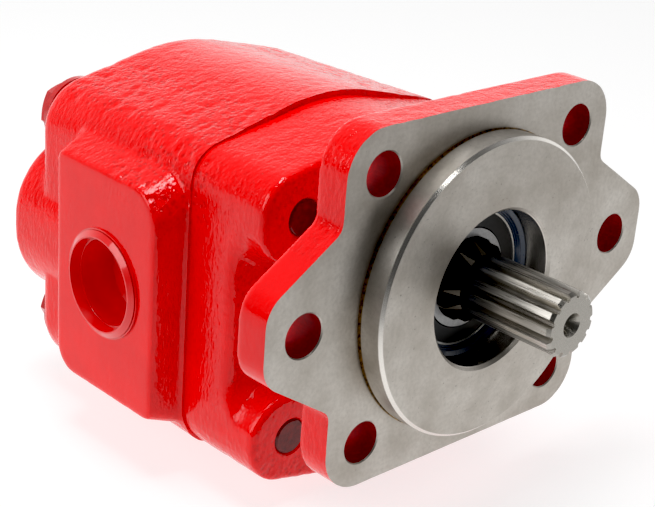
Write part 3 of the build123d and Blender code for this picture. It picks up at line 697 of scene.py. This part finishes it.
# ---------------------------------------------------------------- castings
def cast_and_machined(node, name, body, plugs, cutters, prisms, is_bare):
    """Replace a CAD casting.

    The plugs fill its bores before the skin is cast, and the prisms carry its flat ends outwards.
    Within the plugs and the cutters, the CAD's own faces and bores are then cut again.
    """
    cad = solid_copy(node, "cad_" + name)
    rough = solid_copy(node, name)
    filling = [make(0.0) for make in plugs] + [face_prism(cad, *ends) for ends in prisms]
    combine(rough, united(filling), "UNION")
    remesh(rough, VOXEL)
    give_cast_skin(rough)
    machined = united([make(CUTTER_MARGIN) for make in [*plugs, *cutters]])
    combine(machined, cad, "DIFFERENCE")
    combine(rough, machined, "DIFFERENCE")
    paint(rough, is_bare)
    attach(rough, body)
    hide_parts(node)


def in_flange_hole(points, extra=0.02):
    """Whether each point is on a flange hole's wall. extra widens the holes."""
    inside = np.zeros(len(points), bool)
    for x, z in FLANGE_HOLES:
        inside |= near_axis(points, HOLE_R + extra, x, z)
    return inside & (points[:, 1] < FLANGE_BACK_Y + 0.5)


def paint(thing, is_bare):
    """Bare iron where it was machined after painting, enamel darkened as painted shade on the flange hole
    walls, and enamel elsewhere.
    """
    mesh = thing.data
    mesh.materials.clear()
    for material in (enamel, iron, enamel_in_holes):
        mesh.materials.append(material)
    centres = np.zeros(len(mesh.polygons) * 3)
    mesh.polygons.foreach_get("center", centres)
    centres = centres.reshape(-1, 3) / MM
    # Index 2 is the enamel with painted shade, on the flange hole walls.
    index = np.where(in_flange_hole(centres), 2, np.where(is_bare(centres), 1, 0))
    mesh.polygons.foreach_set("material_index", index.astype(np.int32))
    points = coordinates(mesh) / MM
    depth = cast_depth(points, vertex_normals(mesh))
    attribute = mesh.attributes.new("cast_depth", "FLOAT", "POINT")
    attribute.data.foreach_set("value", depth.astype(np.float32))
    mesh.polygons.foreach_set("use_smooth", np.ones(len(mesh.polygons), bool))
    mesh.set_sharp_from_angle(angle=SHARP_ANGLE)
    mesh.update()


def near_axis(points, radius, x=0.0, z=0.0):
    """Whether each point is within radius of the line parallel to Y through (x, z)."""
    return np.hypot(points[:, 0] - x, points[:, 2] - z) < radius


def near_gears(points, radius):
    """Whether each point is within radius of either gear's axis."""
    return near_axis(points, radius) | near_axis(points, radius, 0.0, DRIVEN_Z)


def bare_on_cover(points):
    """The mounting face, the pilot, the shaft bore, the bushing bores and the joint seal's groove."""
    y = points[:, 1]
    front = (y < 0.01) | (y < 0.45) & (near_axis(points, PILOT_R + 0.5) | in_flange_hole(points, 0.6))
    before_joint = y < JOINT_Y - 0.01
    shaft_bore = near_axis(points, SEAL_SEAT_R + 0.1)
    driven_bore = near_axis(points, BUSHING_ROOM_R, 0.0, DRIVEN_Z) & (y > DRIVEN_BORE_Y)
    groove = near_gears(points, SEAL_GROOVE_R) & (y > JOINT_Y - SEAL_GROOVE_DEPTH - 0.01)
    return front | (shaft_bore | driven_bore | groove) & before_joint


def bare_on_housing(points):
    """The gear chamber, the bushing bores and the ports. The joint face was painted over."""
    x, y, z = points.T
    between = (np.abs(x) < CHAMBER_R) & (np.abs(z - MID_Z) < -MID_Z)
    chamber = (near_gears(points, CHAMBER_R) | between) & (y < REAR_FACE_Y - 5)
    side_bores = (np.hypot(y - PORT_Y, z - MID_Z) < PORT_R + 0.02) & (np.abs(x) < BLOCK_FACE_X - 0.3)
    rear_bores = np.zeros(len(points), bool)
    for side in (-1, 1):
        rear_bores |= near_axis(points, PORT_R + 0.02, side * REAR_PORT_X, MID_Z)
    return chamber & (y > JOINT_Y + 0.01) | side_bores | rear_bores


def y_bar(radius, low, high, x=0.0, z=0.0):
    """A maker of a round bar along Y that can be asked for with a margin all round."""
    return lambda margin: bar("Y", radius + margin, low - margin, high + margin, (x, z))


def x_bar(radius, low, high, y, z):
    """The same along X."""
    return lambda margin: bar("X", radius + margin, low - margin, high + margin, (y, z))


def slab(low_y, high_y):
    """A maker of a wide slab, which takes no margin so that its faces stay exact."""
    return lambda margin: block((-SLAB_REACH, low_y, -SLAB_REACH), (SLAB_REACH, high_y, SLAB_REACH))


def between_the_gears(margin):
    """The middle of the gear chamber, between the two round ends that the bars fill."""
    half_width = CHAMBER_PLUG_HALF_WIDTH + margin
    return block(
        (-half_width, JOINT_Y - margin, DRIVEN_Z),
        (half_width, CHAMBER_PLUG_END_Y + margin, 0),
    )


# The prisms carry the flat ends outwards before casting, and the slabs cut them back to the CAD's faces
FRONT_PRISM_Y = -11.5
FRONT_SLAB_Y = -13.0
JOINT_PRISM = 2.5
JOINT_SLAB = 4.0
SLAB_REACH = 100.0

# Each plug is a little wider and deeper than the bore that it fills, mouth chamfer included
PILOT_FACE_Y = -9.65
SEAL_PLUG_R = SEAL_SEAT_R + 1.6
SEAL_PLUG_END_Y = 40.0
BUSHING_PLUG_R = 24.0
DRIVE_BUSHING_PLUG_Y = 38.0
SEAL_GROOVE_PLUG_Y = JOINT_Y - SEAL_GROOVE_DEPTH - 1.0
FLANGE_HOLE_PLUG_R = HOLE_R + 0.8
TAPPED_PLUG_R = 7.4
DOWEL_PLUG_R = 5.0
DOWEL_PLUG_FRONT_Y = 63.0
DOWEL_PLUG_REAR_Y = 82.0
CHAMBER_PLUG_R = 27.0
CHAMBER_PLUG_HALF_WIDTH = 26.0
CHAMBER_PLUG_END_Y = 134.0
REAR_BUSHING_PLUG_R = 20.0
REAR_BUSHING_PLUG_Y = (130.0, 155.0)
PASSAGE_PLUG_R = 14.0
SIDE_PASSAGE_PLUG_X = 60.0
REAR_PASSAGE_PLUG_END_Y = 160.0
PORT_PLUG_R = PORT_R + 1.0
SIDE_PORT_PLUG_X = 50.0
SIDE_PORT_PLUG_END_X = 71.5
REAR_PORT_PLUG_Y = 150.0
SCREW_PLUG_R = 8.0
SPOTFACE_END_Y = 178.0

cover_plugs = [
    y_bar(SEAL_PLUG_R, PILOT_FACE_Y, SEAL_PLUG_END_Y),
    y_bar(BUSHING_PLUG_R, DRIVE_BUSHING_PLUG_Y, JOINT_Y),
    y_bar(BUSHING_PLUG_R, DRIVEN_BORE_Y, JOINT_Y, 0.0, DRIVEN_Z),
    y_bar(SEAL_GROOVE_R, SEAL_GROOVE_PLUG_Y, JOINT_Y),
    y_bar(SEAL_GROOVE_R, SEAL_GROOVE_PLUG_Y, JOINT_Y, 0.0, DRIVEN_Z),
    *[y_bar(FLANGE_HOLE_PLUG_R, 0.0, FLANGE_BACK_Y, x, z) for x, z in FLANGE_HOLES],
    *[y_bar(TAPPED_PLUG_R, BOSS_FACE_Y, JOINT_Y, x, z) for x, z in SCREW_PLACES],
    *[y_bar(DOWEL_PLUG_R, DOWEL_PLUG_FRONT_Y, JOINT_Y, side * DOWEL_X, MID_Z) for side in (-1, 1)],
]
cast_and_machined(
    "front_cover",
    "front_cover_casting",
    "pump_body",
    cover_plugs,
    [slab(FRONT_SLAB_Y, 0.0), slab(JOINT_Y, JOINT_Y + JOINT_SLAB)],
    [(0.0, FRONT_PRISM_Y), (JOINT_Y, JOINT_Y + JOINT_PRISM)],
    bare_on_cover,
)

housing_plugs = [
    y_bar(CHAMBER_PLUG_R, JOINT_Y, CHAMBER_PLUG_END_Y),
    y_bar(CHAMBER_PLUG_R, JOINT_Y, CHAMBER_PLUG_END_Y, 0.0, DRIVEN_Z),
    y_bar(REAR_BUSHING_PLUG_R, *REAR_BUSHING_PLUG_Y),
    y_bar(REAR_BUSHING_PLUG_R, *REAR_BUSHING_PLUG_Y, 0.0, DRIVEN_Z),
    between_the_gears,
    x_bar(PASSAGE_PLUG_R, -SIDE_PASSAGE_PLUG_X, SIDE_PASSAGE_PLUG_X, PORT_Y, MID_Z),
    *[
        y_bar(PASSAGE_PLUG_R, PORT_Y, REAR_PASSAGE_PLUG_END_Y, side * REAR_PORT_X, MID_Z)
        for side in (-1, 1)
    ],
    *[y_bar(PORT_PLUG_R, REAR_PORT_PLUG_Y, REAR_BOSS_Y, side * REAR_PORT_X, MID_Z) for side in (-1, 1)],
    x_bar(PORT_PLUG_R, SIDE_PORT_PLUG_X, SIDE_PORT_PLUG_END_X, PORT_Y, MID_Z),
    x_bar(PORT_PLUG_R, -SIDE_PORT_PLUG_END_X, -SIDE_PORT_PLUG_X, PORT_Y, MID_Z),
    *[y_bar(SCREW_PLUG_R, JOINT_Y, REAR_FACE_Y, x, z) for x, z in SCREW_PLACES],
    *[y_bar(DOWEL_PLUG_R, JOINT_Y, DOWEL_PLUG_REAR_Y, side * DOWEL_X, MID_Z) for side in (-1, 1)],
]
spotfaces = [y_bar(WASHER_R, REAR_FACE_Y + CUTTER_MARGIN, SPOTFACE_END_Y, x, z) for x, z in SCREW_PLACES]
cast_and_machined(
    "gear_housing",
    "gear_housing_casting",
    "pump_body",
    housing_plugs,
    [slab(JOINT_Y - JOINT_SLAB, JOINT_Y), *spotfaces],
    [(JOINT_Y, JOINT_Y - JOINT_PRISM)],
    bare_on_housing,
)


# ---------------------------------------------------------------- floor, light and camera
BACKDROP_HEADING = (0.62, 0.75, 0.22)
BACKDROP_LIGHT = 1.05
CEILING_LIGHT = 0.52
ROOM_LIGHT = 0.06
FLOOR_GLOW = 0.76
FLOOR_GLOW_FAR = 0.04
FLOOR_CENTRE = (0.0, 0.05, -0.09)
FLOOR_HALF_SIZE = 3000
BLACK_LEVEL = 0.010
LAMP_TARGET = (0.0, 0.06, -0.02)
LAMPS = {
    # name: place, width and height, watts
    "softbox_top": ((-0.10, 0.12, 0.85), (0.36, 0.36), 5.2),
    "key_light": ((0.0, -0.52, 0.66), (0.10, 0.10), 0.25),
    "softbox_left": ((-0.90, 0.30, 0.40), (0.5, 0.7), 4.0),
}
CAMERA_TARGET = (-0.03077, 0.03579, 0.00391)
CAMERA_DISTANCE = 0.506
CAMERA_HEADING = math.radians(44.544)
CAMERA_DROP = math.radians(22.494)
CAMERA_ROLL = math.radians(4.247)
CAMERA_LENS = 85.84


def stage_floor():
    """A pale floor that glows softly round the object and fades away in front of it."""
    material, tree, shader = new_material("studio_floor")
    point = object_point(tree)
    away = add_node(tree, "VectorMath", {0: point, 1: FLOOR_CENTRE}, operation="DISTANCE")
    forward = add_node(tree, "VectorMath", {0: point, 1: BACKDROP_HEADING}, operation="DOT_PRODUCT")
    in_front = ramp(tree, forward.outputs["Value"], -0.30, 0.05, 1.0, 0.0)
    far = maths(tree, "MULTIPLY", ramp(tree, away.outputs["Value"], 0.12, 0.34), in_front)
    glow = ramp(tree, far, 0.0, 1.0, FLOOR_GLOW, FLOOR_GLOW_FAR)
    connect(
        tree,
        shader,
        Base_Color=(0.30, 0.30, 0.30),
        Roughness=0.7,
        Specular_IOR_Level=0.2,
        Emission_Color=(1, 1, 1),
        Emission_Strength=glow,
    )
    bm = bmesh.new()
    bmesh.ops.create_grid(bm, x_segments=1, y_segments=1, size=FLOOR_HALF_SIZE)
    bmesh.ops.translate(bm, vec=(0, 0, housing_low.z), verts=bm.verts)
    floor = object_from(bm, "studio_floor")
    floor.data.materials.append(material)


def softbox(name, place, size, watts):
    light = bpy.data.lights.new(name, "AREA")
    light.shape = "RECTANGLE"
    light.size, light.size_y = size
    light.energy = watts
    thing = bpy.data.objects.new(name, light)
    bpy.context.scene.collection.objects.link(thing)
    thing.location = place
    thing.rotation_euler = (Vector(LAMP_TARGET) - Vector(place)).to_track_quat("-Z", "Y").to_euler()


def studio_light():
    """A white backdrop behind the object, a dim room in front, and the lamps."""
    world = bpy.data.worlds.new("studio")
    world.use_nodes = True
    tree = world.node_tree
    heading = add_node(tree, "TexCoord").outputs["Generated"]
    backward = add_node(tree, "VectorMath", {0: heading, 1: BACKDROP_HEADING}, operation="DOT_PRODUCT")
    height = add_node(tree, "SeparateXYZ", {0: heading}).outputs["Z"]
    white = ramp(tree, height, 0.25, 0.60, BACKDROP_LIGHT, CEILING_LIGHT)
    glow = ramp(tree, backward.outputs["Value"], 0.0, 0.55, ROOM_LIGHT, white)
    tree.links.new(glow, tree.nodes["Background"].inputs["Strength"])
    tree.nodes["Background"].inputs["Color"].default_value = (1.0, 1.0, 1.0, 1.0)
    bpy.context.scene.world = world
    for name, settings in LAMPS.items():
        softbox(name, *settings)


def photo_camera():
    """The camera, aimed at its target. It heads from +Y towards +X, looks down and leans a little."""
    camera = bpy.data.cameras.new("camera")
    thing = bpy.data.objects.new("camera", camera)
    bpy.context.scene.collection.objects.link(thing)
    heading = Matrix.Rotation(-CAMERA_HEADING, 4, "Z")
    tilt = Matrix.Rotation(math.pi / 2 - CAMERA_DROP, 4, "X")
    roll = Matrix.Rotation(CAMERA_ROLL, 4, "Z")
    aim = heading @ tilt @ roll
    backward = aim.to_3x3() @ Vector((0, 0, 1))
    aim.translation = Vector(CAMERA_TARGET) + CAMERA_DISTANCE * backward
    thing.matrix_world = aim
    camera.sensor_width = 36.0
    camera.lens = CAMERA_LENS
    camera.clip_start = 0.01
    camera.clip_end = 20.0
    bpy.context.scene.camera = thing


stage_floor()
studio_light()
photo_camera()
view = bpy.context.scene.view_settings
view.view_transform = "Standard"
view.use_curve_mapping = True
view.curve_mapping.black_level = (BLACK_LEVEL, BLACK_LEVEL, BLACK_LEVEL)
view.curve_mapping.update()
